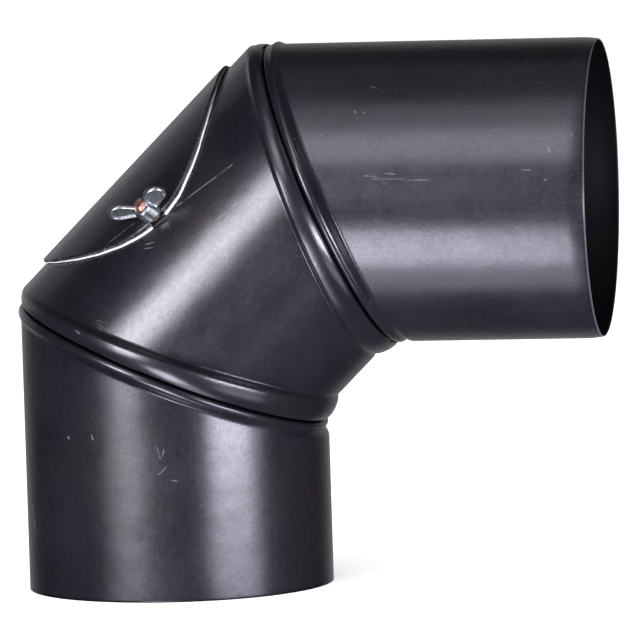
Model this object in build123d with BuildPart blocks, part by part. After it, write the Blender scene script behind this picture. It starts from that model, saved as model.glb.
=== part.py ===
from build123d import *
from math import cos, radians, sin, tan
import os

# Three-piece swivel elbow for a 150 mm stove pipe, in 0.6 mm sheet steel, bent 90 degrees.
# The lower collar is a socket that stands on its mouth, the upper collar is a spigot, and the
# middle segment carries a cleaning hatch: a curved lid on fibre gasket, held by two wing nuts.
# Origin: centre of the lower mouth. +Z runs up the lower collar, +X leaves by the upper collar.

# Driving dimensions of the three tubes, mm
socket_bore = 150.0
spigot_diameter = 148.2
middle_diameter = 150.0
sheet = 0.6
bend_angle = 90.0
lower_length = 118.0
middle_length = 107.0
upper_length = 140.0
socket_depth = 50.0
spigot_depth = 60.0

# Swivel joints: heights are measured along the swivel axis from the open groove
groove_offset = 4.2
ring_shift = 2.4
ring_rise = 5.2
running_gap = 0.35
collar_flare = 14.0
neck_height = 6.0
neck_rise = 0.5
bead_height = 3.0
bead_rise = 1.7
bead_foot = 0.3
lip_height = 0.6
band_rise = 1.6
band_start = 4.0
band_end = 6.5
crease_height = 11.0
flare_margin = 0.6
keeper_height = 5.2
keeper_half = 2.6
sleeve_end = 9.0

# Cleaning hatch
hatch_length = 133.0
hatch_width = 123.0
hatch_overlap = 14.0
gasket_thickness = 2.0
gasket_width = 10.0
gasket_break = 9.0
gasket_gap = 0.1

# Weld studs and wing nuts
stud_angle = 49.5
stud_offset = -2.0
stud_diameter = 6.0
stud_length = 13.0
stud_flange_diameter = 7.5
stud_flange = 0.9
stud_chamfer = 0.8
notch_width = 7.0
thread_gap = 0.06
seat_gap = 0.3
nut_span = 33.0
nut_height = 17.0
hub_height = 8.5
hub_base_diameter = 12.5
hub_top_diameter = 10.0
wing_thickness = 2.6
wing_tip_radius = 5.3
wing_root_radius = 3.4
wing_root_reach = 3.5
wing_root_height = 5.0
wing_turn = 25.0

# Tube radii and the bend's layout in the XZ plane
socket_radius = socket_bore / 2 + sheet
spigot_radius = spigot_diameter / 2
middle_radius = middle_diameter / 2
mitre = radians(bend_angle / 4)
FLARE_STEPS = 4


def leaning(angle):
    """Unit vector in the XZ plane that leans from +Z towards +X by an angle in radians."""
    return Vector(sin(angle), 0, cos(angle))


up = leaning(0)
middle_direction = leaning(2 * mitre)
outlet_direction = leaning(4 * mitre)
outward = leaning(2 * mitre - radians(90))
near_side = Vector(0, -1, 0)

lower_crossing = up * lower_length
upper_crossing = lower_crossing + middle_direction * middle_length
middle_centre = (lower_crossing + upper_crossing) * 0.5


def swivel_plane(crossing, axis, to_middle):
    """Plane of a groove, centred on its swivel axis: X towards the throat, Z into the middle."""
    throat = Vector(axis.Z, 0, -axis.X)
    centre = crossing + throat * ring_shift - axis * (to_middle * groove_offset)
    return Plane(origin=centre, x_dir=throat, z_dir=axis * to_middle)


lower_swivel = swivel_plane(lower_crossing, leaning(mitre), 1)
upper_swivel = swivel_plane(upper_crossing, leaning(3 * mitre), -1)
lower_mouth = Plane(origin=(0, 0, 0), x_dir=(1, 0, 0), z_dir=up)
upper_mouth = Plane(
    origin=upper_crossing + outlet_direction * upper_length,
    x_dir=up * -1,
    z_dir=outlet_direction * -1,
)
middle_section = Plane(origin=middle_centre, x_dir=outward, z_dir=middle_direction)
hatch_plane = Plane(origin=middle_centre, x_dir=middle_direction, z_dir=outward)

# The middle segment's flares run out just short of the ends of the hatch
hatch_end = groove_offset + (middle_length - hatch_length) / 2 * cos(mitre) + middle_radius * sin(mitre)
middle_flare_end = hatch_end - flare_margin


def sleeve_radius(collar_radius):
    """Outside of the sleeve on which the middle segment's rolled band turns."""
    return (collar_radius + middle_radius) / 2 + ring_rise


def axis_offset(height):
    """Distance from the swivel axis to the tube's own axis, at a height from the groove."""
    return tan(mitre) * abs(height - groove_offset) - ring_shift


def smooth(share):
    """Ease from 0 to 1 with level ends."""
    return share * share * (3 - 2 * share)


def flare(swivel, start, end, tube_radius, ring_radius, mode):
    """Ease the tube's slanted sections, from the start height, into the round ring at the end height."""
    sections = []
    for step in range(FLARE_STEPS + 1):
        share = step / FLARE_STEPS
        height = start + (end - start) * share
        weight = smooth(share)
        long_radius = (1 - weight) * tube_radius / cos(mitre) + weight * ring_radius
        short_radius = (1 - weight) * tube_radius + weight * ring_radius
        with BuildSketch(swivel.offset(height)) as section:
            with Locations((axis_offset(height) - weight * axis_offset(end), 0)):
                Ellipse(long_radius, short_radius)
        sections.append(section.sketch)
    loft(sections, mode=mode)


def wave(stations):
    """Sheet profile through (radius, height) stations, by level lines and pairs of equal arcs."""
    for (radius_a, height_a), (radius_b, height_b) in zip(stations, stations[1:]):
        if radius_a == radius_b:
            Line((radius_a, height_a), (radius_b, height_b))
        else:
            along = (0, height_b - height_a)
            middle = ((radius_a + radius_b) / 2, (height_a + height_b) / 2)
            rise = TangentArc((radius_a, height_a), middle, tangent=along)
            TangentArc(middle, (radius_b, height_b), tangent=rise % 1)


def rolled_ring(swivel, stations):
    """Sheet ring rolled about the swivel axis, from its outside stations."""
    axis = swivel.z_dir
    half_section = Plane(origin=swivel.origin, x_dir=swivel.x_dir, z_dir=swivel.x_dir.cross(axis))
    with BuildSketch(half_section) as profile:
        with BuildLine():
            inside = [(radius - sheet, height) for radius, height in stations]
            wave(stations)
            wave(inside)
            Line(stations[0], inside[0])
            Line(stations[-1], inside[-1])
        make_face()
    revolve(profile.sketch, axis=Axis(swivel.origin, axis))


def band_radius(collar_radius):
    """Outside of the band's lip and crease, which clear the sleeve by the running gap."""
    return sleeve_radius(collar_radius) + running_gap + sheet


def make_collar(label, mouth, swivel, straight, tube_radius):
    """Straight tube, slanted stretch, flare, stop bead, and the sleeve with its keeper bead."""
    sleeve = sleeve_radius(tube_radius)
    keeper = band_radius(tube_radius) + band_rise - sheet - running_gap
    neck = sleeve + neck_rise
    flare_start = -neck_height - collar_flare
    with BuildPart() as collar:
        with BuildSketch(mouth):
            Circle(tube_radius)
            Circle(tube_radius - sheet, mode=Mode.SUBTRACT)
        extrude(amount=straight)
        for inset, mode in ((0, Mode.ADD), (sheet, Mode.SUBTRACT)):
            radius = tube_radius - inset
            with BuildSketch(mouth.offset(straight)):
                Circle(radius)
            with BuildSketch(swivel.offset(flare_start)):
                with Locations((axis_offset(flare_start), 0)):
                    Ellipse(radius / cos(mitre), radius)
            loft(ruled=True, mode=mode)
            flare(swivel, flare_start, -neck_height, radius, neck - inset, mode)
        rolled_ring(
            swivel,
            [
                (neck, -neck_height),
                (sleeve + bead_rise, -bead_height),
                (sleeve, -bead_foot),
                (sleeve, keeper_height - keeper_half),
                (keeper, keeper_height),
                (sleeve, keeper_height + keeper_half),
                (sleeve, sleeve_end),
            ],
        )
    collar.part.label = label
    export_step(collar.part, f"parts/{label}.step")


os.makedirs("parts", exist_ok=True)

make_collar("lower_collar", lower_mouth, lower_swivel, socket_depth, socket_radius)
make_collar("upper_collar", upper_mouth, upper_swivel, spigot_depth, spigot_radius)

# Middle segment: a tube cut to both swivels, flared into a hollow band at each end
with BuildPart() as middle_segment:
    with BuildSketch(middle_section):
        Circle(middle_radius)
        Circle(middle_radius - sheet, mode=Mode.SUBTRACT)
    extrude(amount=middle_length, both=True)
    for swivel in (lower_swivel, upper_swivel):
        split(bisect_by=swivel.offset(middle_flare_end), keep=Keep.TOP)
    for swivel, collar_radius in ((lower_swivel, socket_radius), (upper_swivel, spigot_radius)):
        lip = band_radius(collar_radius)
        for inset, mode in ((0, Mode.ADD), (sheet, Mode.SUBTRACT)):
            flare(swivel, middle_flare_end, crease_height, middle_radius - inset, lip - inset, mode)
        rolled_ring(
            swivel,
            [
                (lip, lip_height),
                (lip + band_rise, band_start),
                (lip + band_rise, band_end),
                (lip, crease_height),
            ],
        )
    with BuildSketch(hatch_plane):
        Ellipse(hatch_length / 2 - hatch_overlap, hatch_width / 2 - hatch_overlap)
    extrude(amount=middle_diameter, mode=Mode.SUBTRACT)
middle_segment.part.label = "middle_segment"
export_step(middle_segment.part, "parts/middle_segment.step")

# Hatch: the lid rides on the gasket, so both follow the middle segment's radius
lid_inside = middle_radius + gasket_thickness
lid_outside = lid_inside + sheet
near_and_far = {"near": 1, "far": -1}


def stud_plane(side, radius, turn=0):
    """Plane square to a stud at a distance from the segment's axis, Y towards the lid's edge."""
    angle = radians(stud_angle)
    axis = outward * cos(angle) + near_side * (side * sin(angle))
    foot = middle_centre + middle_direction * stud_offset + axis * radius
    to_edge = near_side * (side * cos(angle)) - outward * sin(angle)
    along_edge = to_edge.cross(axis)
    x_dir = along_edge * cos(radians(turn)) + to_edge * sin(radians(turn))
    return Plane(origin=foot, x_dir=x_dir, z_dir=axis)


def curved_sheet(inside, outside):
    """Length of pipe wall round the middle segment, as long as the lid."""
    with BuildSketch(middle_section) as wall:
        Circle(outside)
        Circle(inside, mode=Mode.SUBTRACT)
    extrude(wall.sketch, amount=hatch_length / 2, both=True)


with BuildPart() as hatch_lid:
    curved_sheet(lid_inside, lid_outside)
    with BuildSketch(hatch_plane):
        Ellipse(hatch_length / 2, hatch_width / 2)
    extrude(amount=middle_diameter, mode=Mode.INTERSECT)
    for side in near_and_far.values():
        with BuildSketch(stud_plane(side, middle_radius)):
            Circle(notch_width / 2)
            with Locations((0, notch_width)):
                Rectangle(notch_width, 2 * notch_width)
        extrude(amount=stud_length, mode=Mode.SUBTRACT)
hatch_lid.part.label = "hatch_lid"
export_step(hatch_lid.part, "parts/hatch_lid.step")

# Gasket: two strips under the lid's rim, parted at the studs
break_plane = Plane(
    origin=middle_centre + middle_direction * stud_offset,
    x_dir=outward,
    z_dir=middle_direction,
)
for label, direction in (("gasket_upper", 1), ("gasket_lower", -1)):
    with BuildPart() as gasket:
        curved_sheet(middle_radius + gasket_gap, lid_inside - gasket_gap)
        with BuildSketch(hatch_plane):
            Ellipse(hatch_length / 2, hatch_width / 2)
            Ellipse(hatch_length / 2 - gasket_width, hatch_width / 2 - gasket_width, mode=Mode.SUBTRACT)
        extrude(amount=middle_diameter, mode=Mode.INTERSECT)
        keep = Keep.TOP if direction > 0 else Keep.BOTTOM
        split(bisect_by=break_plane.offset(direction * gasket_break / 2), keep=keep)
    gasket.part.label = label
    export_step(gasket.part, f"parts/{label}.step")

# Weld studs on the middle segment, and a wing nut on each
for name, side in near_and_far.items():
    with BuildPart() as stud:
        with BuildSketch(stud_plane(side, middle_radius)):
            Circle(stud_flange_diameter / 2)
        extrude(amount=stud_flange)
        with BuildSketch(stud_plane(side, middle_radius + stud_flange)):
            Circle(stud_diameter / 2)
        extrude(amount=stud_length - stud_flange)
        tip = stud.faces().sort_by(Axis((0, 0, 0), stud_plane(side, 0).z_dir))[-1]
        chamfer(tip.edges(), length=stud_chamfer)
    stud.part.label = f"stud_{name}"
    export_step(stud.part, f"parts/stud_{name}.step")

    seat = stud_plane(side, lid_outside + seat_gap, -side * wing_turn)
    upright = Plane(origin=seat.origin, x_dir=seat.x_dir, z_dir=seat.x_dir.cross(seat.z_dir))
    with BuildPart() as wing_nut:
        with BuildSketch(upright):
            with BuildLine():
                Polyline(
                    (0, 0),
                    (hub_base_diameter / 2, 0),
                    (hub_top_diameter / 2, hub_height),
                    (0, hub_height),
                    close=True,
                )
            make_face()
        revolve(axis=Axis(seat.origin, seat.z_dir))
        with BuildSketch(upright):
            with BuildLine():
                tip_centre = (nut_span / 2 - wing_tip_radius, nut_height - wing_tip_radius)
                CenterArc(tip_centre, wing_tip_radius, 0, 360)
                CenterArc((wing_root_reach, wing_root_height), wing_root_radius, 0, 360)
            make_hull()
            mirror(about=Plane.YZ)
        extrude(amount=wing_thickness / 2, both=True)
        with BuildSketch(seat):
            Circle(stud_diameter / 2 + thread_gap)
        extrude(amount=nut_height, mode=Mode.SUBTRACT)
    wing_nut.part.label = f"wing_nut_{name}"
    export_step(wing_nut.part, f"parts/wing_nut_{name}.step")
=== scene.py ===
from math import cos, pi, radians, sin, tan

import bpy
import numpy as np
from mathutils import Matrix, Vector


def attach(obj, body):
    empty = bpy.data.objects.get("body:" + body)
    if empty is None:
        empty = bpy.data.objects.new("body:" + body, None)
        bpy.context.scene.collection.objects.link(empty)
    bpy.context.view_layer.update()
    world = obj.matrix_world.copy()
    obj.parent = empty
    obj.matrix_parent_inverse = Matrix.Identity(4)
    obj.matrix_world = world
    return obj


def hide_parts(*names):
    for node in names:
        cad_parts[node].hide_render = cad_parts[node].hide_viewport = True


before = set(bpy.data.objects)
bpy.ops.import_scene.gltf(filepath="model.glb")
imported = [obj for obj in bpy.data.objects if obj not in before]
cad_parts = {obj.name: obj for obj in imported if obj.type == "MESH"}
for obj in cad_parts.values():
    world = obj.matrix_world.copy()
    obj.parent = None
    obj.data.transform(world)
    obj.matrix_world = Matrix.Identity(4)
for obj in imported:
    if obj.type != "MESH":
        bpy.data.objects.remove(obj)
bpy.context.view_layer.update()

# Tubes, in millimetres
MM = 0.001
SHEET = 0.6
EDGE_ROUNDING = 0.2
SOCKET_RADIUS = 75.6
SPIGOT_RADIUS = 74.1
MIDDLE_RADIUS = 75.0
LOWER_LENGTH = 118.0
MIDDLE_LENGTH = 107.0
UPPER_LENGTH = 140.0
SOCKET_DEPTH = 50.0
SPIGOT_DEPTH = 60.0
SET_IN_DEPTH = 9
MITRE = radians(22.5)
AROUND = 288

# Swivel joints: heights run from the open groove along the swivel axis, into the middle segment
GROOVE_OFFSET = 5.4
RING_SHIFT = 2.4
RING_RISE = 5.2
RUNNING_GAP = 0.35
BAND_RISE = 1.57
BAND_TOP = 7.0
BAND_FULLNESS = 2.4
LIP_HEIGHT = 0.7
CREASE_HEIGHT = 9.5
CREASE_LEAN = 3.5
BAND_HOLLOW = 1.8
BEAD_HOLLOW = 2.6
HOLLOW_POWER = 1.3
BEAD_HEIGHTS = [-5.2, -4.6, -4.0, -3.2, -2.4, -1.6, -1.1, -0.7, -0.3, 0.7, 1.6, 3.0, 4.0, 5.6]
BEAD_RISES = [0.5, 1.1, 1.4, 1.55, 1.6, 1.4, 1.0, 0.2, -1.1, -1.3, 0.0, 0.0, 0.8, 0.8]
ROW_STEP = 0.2
FOLD_ROWS = 12
FOLD_RADIUS = 0.42
COLLAR_ROWS, COLLAR_FINE = (-20.0, 5.7), (-9.4, 1.6)
BAND_ROWS, BAND_FINE = (LIP_HEIGHT, 20.2), (LIP_HEIGHT, 16.0)

# Reach of the smooth rolled rings, widths of the painted shade in the groove and at the cut edge, and width
# of the worn cut edge, which is partly a painted highlight
COLLAR_ROLLED = 6.0
BAND_ROLLED = 11.0
GROOVE_SHADE = 0.7
EDGE_SHADE = 0.6
EDGE_WEAR_AND_HIGHLIGHT = 0.2

# Cleaning hatch, weld studs and wing nuts
HATCH_LENGTH = 133.0
HATCH_WIDTH = 123.0
HATCH_OVERLAP = 14.0
GASKET_THICKNESS = 2.0
GASKET_WIDTH = 10.0
GASKET_BREAK = 9.0
LID_INSIDE = MIDDLE_RADIUS + GASKET_THICKNESS
LID_ROUNDING = 0.18
LID_AROUND = 240
STUD_ANGLE = radians(49.5)
STUD_OFFSET = -2.0
STUD_LENGTH = 13.0
NOTCH_WIDTH = 7.0
NOTCH_REACH = 14.0
NOTCH_START, NOTCH_LIFT = 2, 12
SEAT_GAP = 0.3
WING_TURN = radians(25)
SHEET_FOLD = radians(50)


def leaning(angle):
    """Unit vector in the bend's plane, leaning from +Z towards +X."""
    return np.array([sin(angle), 0.0, cos(angle)])


UP = leaning(0)
ALONG = leaning(2 * MITRE)
OUTLET = leaning(4 * MITRE)
OUTWARD = leaning(2 * MITRE - pi / 2)
NEAR = np.array([0.0, -1.0, 0.0])
LOWER_CROSSING = UP * LOWER_LENGTH
UPPER_CROSSING = LOWER_CROSSING + ALONG * MIDDLE_LENGTH
MIDDLE_CENTRE = (LOWER_CROSSING + UPPER_CROSSING) / 2
OUTLET_CENTRE = UPPER_CROSSING + OUTLET * UPPER_LENGTH


def swivel_axes(crossing, axis, side):
    """Groove centre, throat direction, sideways direction and the axis into the middle segment."""
    throat = np.array([axis[2], 0.0, -axis[0]])
    centre = crossing + throat * RING_SHIFT - axis * side * GROOVE_OFFSET
    return centre, throat, np.array([0.0, 1.0, 0.0]), axis * side


LOWER_SWIVEL = swivel_axes(LOWER_CROSSING, leaning(MITRE), 1)
UPPER_SWIVEL = swivel_axes(UPPER_CROSSING, leaning(3 * MITRE), -1)
LOWER_MOUTH = (np.zeros(3), np.array([1.0, 0, 0]), np.array([0, 1.0, 0]), UP)
UPPER_MOUTH = (OUTLET_CENTRE, -UP, np.array([0, 1.0, 0]), -OUTLET)
TURN = np.arange(AROUND) * 2 * pi / AROUND


def ring(axes, across, sideways, height, shift=0.0):
    """Closed oval of points about an axis: half-widths across and sideways, at a height."""
    centre, x, y, z = axes
    return (
        centre
        + np.outer(shift + across * np.cos(TURN), x)
        + np.outer(sideways * np.sin(TURN), y)
        + z * height
    )


def sleeve_radius(tube):
    """Outside of a collar's sleeve, on which the band turns."""
    return (tube + MIDDLE_RADIUS) / 2 + RING_RISE


def band_radius(tube):
    """Outside of the band's lip, clear of the sleeve by the running gap."""
    return sleeve_radius(tube) + RUNNING_GAP + SHEET


def tube_shift(height):
    """How far the tube's own axis lies from the swivel axis at a height."""
    return tan(MITRE) * abs(height - GROOVE_OFFSET) - RING_SHIFT


def eased_rows(rows):
    """Round off the folds: each row becomes a bell-shaped mean of its neighbours, and both ends stay."""
    before, after = rows[1:FOLD_ROWS + 1][::-1], rows[-FOLD_ROWS - 1:-1][::-1]
    padded = np.concatenate([2 * rows[0] - before, rows, 2 * rows[-1] - after])
    weights = np.exp(-0.5 * (np.arange(-FOLD_ROWS, FOLD_ROWS + 1) * ROW_STEP / FOLD_RADIUS) ** 2)
    weights /= weights.sum()
    return sum(weight * padded[k:k + len(rows)] for k, weight in enumerate(weights))


def joint_rings(axes, tube, heights, crease, lean, hollow, profile, inset, keep):
    """Rings beside a swivel: slanted ovals of the tube, a hollow curve to the crease, a turned profile."""
    centre, x, y, z = axes
    side = 1 if crease > 0 else -1
    radius = tube - inset
    oval = np.stack([radius / cos(MITRE) * np.cos(TURN), radius * np.sin(TURN)], axis=1)
    bearing = np.arctan2(oval[:, 1], oval[:, 0] + tube_shift(crease))
    edge = crease + lean * np.cos(bearing)
    rows = []
    for height in heights:
        near_edge = np.clip(1 - (height - edge) * side / hollow, 0, 1)
        share = (near_edge ** HOLLOW_POWER)[:, None]
        reach = profile(np.minimum(height * side, edge * side) * side, bearing) - inset
        turned_row = np.stack([reach * np.cos(bearing), reach * np.sin(bearing)], axis=1)
        rows.append((1 - share) * (oval + np.array([tube_shift(height), 0.0])) + share * turned_row)
    eased = eased_rows(np.array(rows))
    return [
        centre + np.outer(eased[k][:, 0], x) + np.outer(eased[k][:, 1], y) + z * heights[k] for k in keep
    ]


def thinned(heights, fine):
    """Row numbers to keep: both ends, every second one in the fine stretch and every eighth one elsewhere."""
    last = len(heights) - 1
    return [
        k for k, height in enumerate(heights)
        if k in (0, last) or k % (2 if fine[0] <= height <= fine[1] else 8) == 0
    ]


def between(first, last, steps):
    """Rings that divide the way from one ring to another."""
    return [first + (last - first) * step / steps for step in range(1, steps)]


def collar_wall(mouth, swivel, straight, tube, set_in, low_back, inset):
    """One face of a collar's sheet, from its mouth to the end of the sleeve.

    The mouth is drawn in by set_in, and the bead is lower at the back of the bend by the share low_back.
    """
    radius = tube - inset

    def profile(height, bearing):
        rise = np.interp(height, BEAD_HEIGHTS, BEAD_RISES)
        lowered = 1 - low_back * np.clip(-np.cos(bearing), 0, 1) ** 2
        return sleeve_radius(tube) + np.where((height < 0) & (rise > 0), rise * lowered, rise)

    heights = np.arange(*COLLAR_ROWS, ROW_STEP)
    rings = []
    for height in (0.2, *range(1, 11), *np.linspace(12, straight, 9)):
        mouth_radius = radius - set_in * max(0.0, 1 - height / SET_IN_DEPTH) ** 2
        rings.append(ring(mouth, mouth_radius, mouth_radius, height))
    keep = thinned(heights, COLLAR_FINE)
    joint = joint_rings(swivel, tube, heights, BEAD_HEIGHTS[0], 0.0, BEAD_HOLLOW, profile, inset, keep)
    return rings + between(rings[-1], joint[0], 14) + joint


def middle_wall(inset):
    """One face of the middle segment's sheet, from its lower lip to its upper lip."""
    heights = np.arange(*BAND_ROWS, ROW_STEP)
    keep = thinned(heights, BAND_FINE)
    shape = (CREASE_HEIGHT, CREASE_LEAN, BAND_HOLLOW)

    def end(swivel, collar):
        def profile(height, bearing):
            fall = np.abs((height - BAND_TOP) / (BAND_TOP - LIP_HEIGHT)) ** BAND_FULLNESS
            return band_radius(collar) + BAND_RISE * (1 - fall)

        return joint_rings(swivel, MIDDLE_RADIUS, heights, *shape, profile, inset, keep)

    lower, upper = end(LOWER_SWIVEL, SOCKET_RADIUS), end(UPPER_SWIVEL, SPIGOT_RADIUS)
    return lower + between(lower[-1], upper[-1], 16) + upper[::-1]


def close_sheet(outside, inside, lip_axis=None):
    """Points and faces of a sheet with both faces and rounded edges; rings run in a closed loop."""
    rings = list(outside)
    rings.append(rings[-1] * 0.5 + inside[-1] * 0.5 + (outside[-1] - outside[-2]) * EDGE_ROUNDING)
    rings += list(inside)[::-1]
    first = outside[0] * 0.5 + inside[0] * 0.5
    rings.append(first - lip_axis * EDGE_ROUNDING if lip_axis is not None else first)
    points = np.concatenate(rings)
    faces = []
    count = len(rings)
    for row in range(count):
        low, high = row * AROUND, (row + 1) % count * AROUND
        for left in range(AROUND):
            right = (left + 1) % AROUND
            faces.append((low + left, low + right, high + right, high + left))
    return points, faces


def mesh_points(mesh):
    """Vertices of a mesh, in millimetres."""
    points = np.empty(len(mesh.vertices) * 3)
    mesh.vertices.foreach_get("co", points)
    return points.reshape(-1, 3) / MM


def mark(mesh, name, values):
    """Keep a value for each vertex, for the mesh's material."""
    mesh.attributes.new(name, "FLOAT", "POINT").data.foreach_set("value", values)


def sheet_map(mesh, centre, axis, radius):
    """UV map in metres: distance round the tube from the side that faces -Y, and along its axis."""
    sideways = np.cross(axis, NEAR)
    points = mesh_points(mesh) - centre
    angle = np.arctan2(points @ sideways, points @ NEAR)
    along = points @ axis
    layer = mesh.uv_layers.new(name="sheet")
    for polygon in mesh.polygons:
        turns = [angle[mesh.loops[loop].vertex_index] for loop in polygon.loop_indices]
        far = max(turns) - min(turns) > pi
        for loop, turn in zip(polygon.loop_indices, turns):
            turn = turn + 2 * pi if far and turn < 0 else turn
            layer.data[loop].uv = (turn * radius * MM, along[mesh.loops[loop].vertex_index] * MM)


def new_piece(name, points, faces, material):
    """Smooth mesh object from points in millimetres, in the elbow's frame."""
    mesh = bpy.data.meshes.new(name)
    mesh.from_pydata((np.asarray(points) * MM).tolist(), [], faces)
    mesh.update()
    mesh.polygons.foreach_set("use_smooth", [True] * len(mesh.polygons))
    mesh.materials.append(material)
    piece = bpy.data.objects.new(name, mesh)
    bpy.context.scene.collection.objects.link(piece)
    return piece


def shade_inside(piece, outside_rings, inside_rings):
    """Give the faces of a tube's inner wall the near-black finish, which is painted shade."""
    piece.data.materials.append(INSIDE_SHADE)
    first = outside_rings + 1
    for face in piece.data.polygons[first * AROUND:(first + inside_rings - 1) * AROUND]:
        face.material_index = 1


def mark_joints(mesh, swivels, rolled, mouth=None, wear_and_highlight=0.0):
    """Mark the rolled rings, which are smoother, and on a collar the painted shade in the groove and at the
    cut edge, and the worn cut edge, which is partly a painted highlight.
    """
    points = mesh_points(mesh)
    heights = np.array([(points - swivel[0]) @ swivel[3] for swivel in swivels])
    smooth = np.clip((rolled - np.abs(heights)) / rolled, 0, 1).max(axis=0)
    painted_shade = worn_and_highlight = np.zeros(len(points))
    if mouth is not None:
        depths = (points - mouth[0]) @ mouth[3]
        # Painted shade: the groove beside the ring and the cut edge at the mouth are marked to turn near
        # black and less shiny
        groove = np.clip(1.8 - np.abs(heights[0]) / GROOVE_SHADE, 0, 1)
        painted_shade = np.maximum(groove, np.clip(2 - depths / EDGE_SHADE, 0, 1))
        # Worn bare steel on the cut edge, partly a painted highlight: a light line in the colour where the
        # rim's reflection is dimmed
        worn_and_highlight = np.clip(2 - depths / EDGE_WEAR_AND_HIGHLIGHT, 0, 1) * wear_and_highlight
    mark(mesh, "rolled", smooth)
    mark(mesh, "painted_shade", painted_shade)
    mark(mesh, "worn_and_highlight", worn_and_highlight)


def outward_faces(piece):
    """Turn the faces so that the closed mesh has a positive volume."""
    mesh = piece.data
    mesh.calc_loop_triangles()
    points = mesh_points(mesh)
    corners = np.array([triangle.vertices for triangle in mesh.loop_triangles])
    a, b, c = points[corners[:, 0]], points[corners[:, 1]], points[corners[:, 2]]
    if np.einsum("ij,ij->i", a, np.cross(b, c)).sum() < 0:
        mesh.flip_normals()


def dress(piece, body, node):
    """Show a piece in place of a node of the part, on its body."""
    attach(piece, body)
    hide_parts(node)


def plain_mesh(piece):
    """Turn a piece's modifiers into a plain mesh and remove them."""
    evaluated = piece.evaluated_get(bpy.context.evaluated_depsgraph_get())
    result = bpy.data.meshes.new_from_object(evaluated)
    result.name = piece.name
    piece.modifiers.clear()
    piece.data = result


# Shader helpers
def add_node(tree, kind, inputs=None, **settings):
    node = tree.nodes.new(kind)
    for name, value in settings.items():
        setattr(node, name, value)
    for name, value in (inputs or {}).items():
        if isinstance(value, bpy.types.NodeSocket):
            tree.links.new(value, node.inputs[name])
        else:
            node.inputs[name].default_value = value
    return node


def calc(tree, operation, first, second=0.0, clamp=False):
    node = add_node(tree, "ShaderNodeMath", {0: first, 1: second}, operation=operation, use_clamp=clamp)
    return node.outputs[0]


def spread(tree, value, low, high, to_low=0.0, to_high=1.0, kind="LINEAR"):
    inputs = {"Value": value, "From Min": low, "From Max": high, "To Min": to_low, "To Max": to_high}
    return add_node(tree, "ShaderNodeMapRange", inputs, interpolation_type=kind).outputs["Result"]


def mix_colour(tree, share, first, second):
    return add_node(tree, "ShaderNodeMix", {0: share, 6: first, 7: second}, data_type="RGBA").outputs[2]


def noise(tree, vector, scale, detail=2.0, roughness=0.5):
    inputs = {"Vector": vector, "Scale": scale, "Detail": detail, "Roughness": roughness}
    return add_node(tree, "ShaderNodeTexNoise", inputs).outputs["Fac"]


def stretched(tree, vector, scale, offset=(0, 0, 0)):
    inputs = {"Vector": vector, "Scale": scale, "Location": offset}
    return add_node(tree, "ShaderNodeMapping", inputs).outputs["Vector"]


def vector_calc(tree, operation, first, second):
    return add_node(tree, "ShaderNodeVectorMath", {0: first, 1: second}, operation=operation).outputs


def attribute(tree, name):
    return add_node(tree, "ShaderNodeAttribute", attribute_name=name).outputs["Fac"]


def object_place(tree):
    return add_node(tree, "ShaderNodeTexCoord").outputs["Object"]


def raise_relief(tree, target, height, strength, distance):
    """Bump on a shader, or under another bump, from a varying height."""
    bump = add_node(tree, "ShaderNodeBump", {"Height": height, "Strength": strength, "Distance": distance})
    tree.links.new(bump.outputs["Normal"], target.inputs["Normal"])
    return bump


def shader_group(name, inputs, outputs):
    tree = bpy.data.node_groups.new(name, "ShaderNodeTree")
    for label, kind, value in inputs:
        socket = tree.interface.new_socket(label, in_out="INPUT", socket_type=kind)
        if value is not None:
            socket.default_value = value
    for label, kind in outputs:
        tree.interface.new_socket(label, in_out="OUTPUT", socket_type=kind)
    return tree, add_node(tree, "NodeGroupInput").outputs, add_node(tree, "NodeGroupOutput")


def rolled_sheet_group():
    """Satin black finish: cloudy tone, fine lines drawn along the tube, fine grain."""
    tree, given, result = shader_group(
        "rolled_sheet",
        [("Sheet", "NodeSocketVector", None), ("Place", "NodeSocketVector", None)],
        [("Colour", "NodeSocketColor"), ("Roughness", "NodeSocketFloat"), ("Height", "NodeSocketFloat")],
    )
    cloud = noise(tree, given["Place"], 26.0, 4.0, 0.55)
    tint = noise(tree, stretched(tree, given["Place"], (1, 1, 1), (3.1, 0.4, 1.7)), 15.0, 2.0)
    drawn = noise(tree, stretched(tree, given["Sheet"], (900, 22, 1)), 1.0, 3.0, 0.6)
    grain = noise(tree, given["Place"], 1300.0, 2.0, 0.6)
    fleck = noise(tree, given["Place"], 420.0, 2.0, 0.7)
    dark_tone, light_tone = (0.0046, 0.0042, 0.0062, 1), (0.0086, 0.0079, 0.0112, 1)
    warm_tone = (0.0112, 0.0080, 0.0080, 1)
    tone = mix_colour(tree, spread(tree, cloud, 0.3, 0.7), dark_tone, light_tone)
    warm = mix_colour(tree, spread(tree, tint, 0.52, 0.75, 0.0, 0.75), tone, warm_tone)
    tree.links.new(warm, result.inputs["Colour"])
    rough = spread(tree, cloud, 0.3, 0.7, 0.255, 0.285)
    rough = calc(tree, "ADD", rough, spread(tree, drawn, 0.3, 0.7, -0.012, 0.018))
    rough = calc(tree, "ADD", rough, spread(tree, fleck, 0.3, 0.75, -0.02, 0.03))
    tree.links.new(rough, result.inputs["Roughness"])
    height = calc(tree, "ADD", calc(tree, "MULTIPLY", grain, 0.6), calc(tree, "MULTIPLY", drawn, 0.12))
    height = calc(tree, "ADD", height, calc(tree, "MULTIPLY", fleck, 0.3))
    tree.links.new(height, result.inputs["Height"])
    return tree


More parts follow.
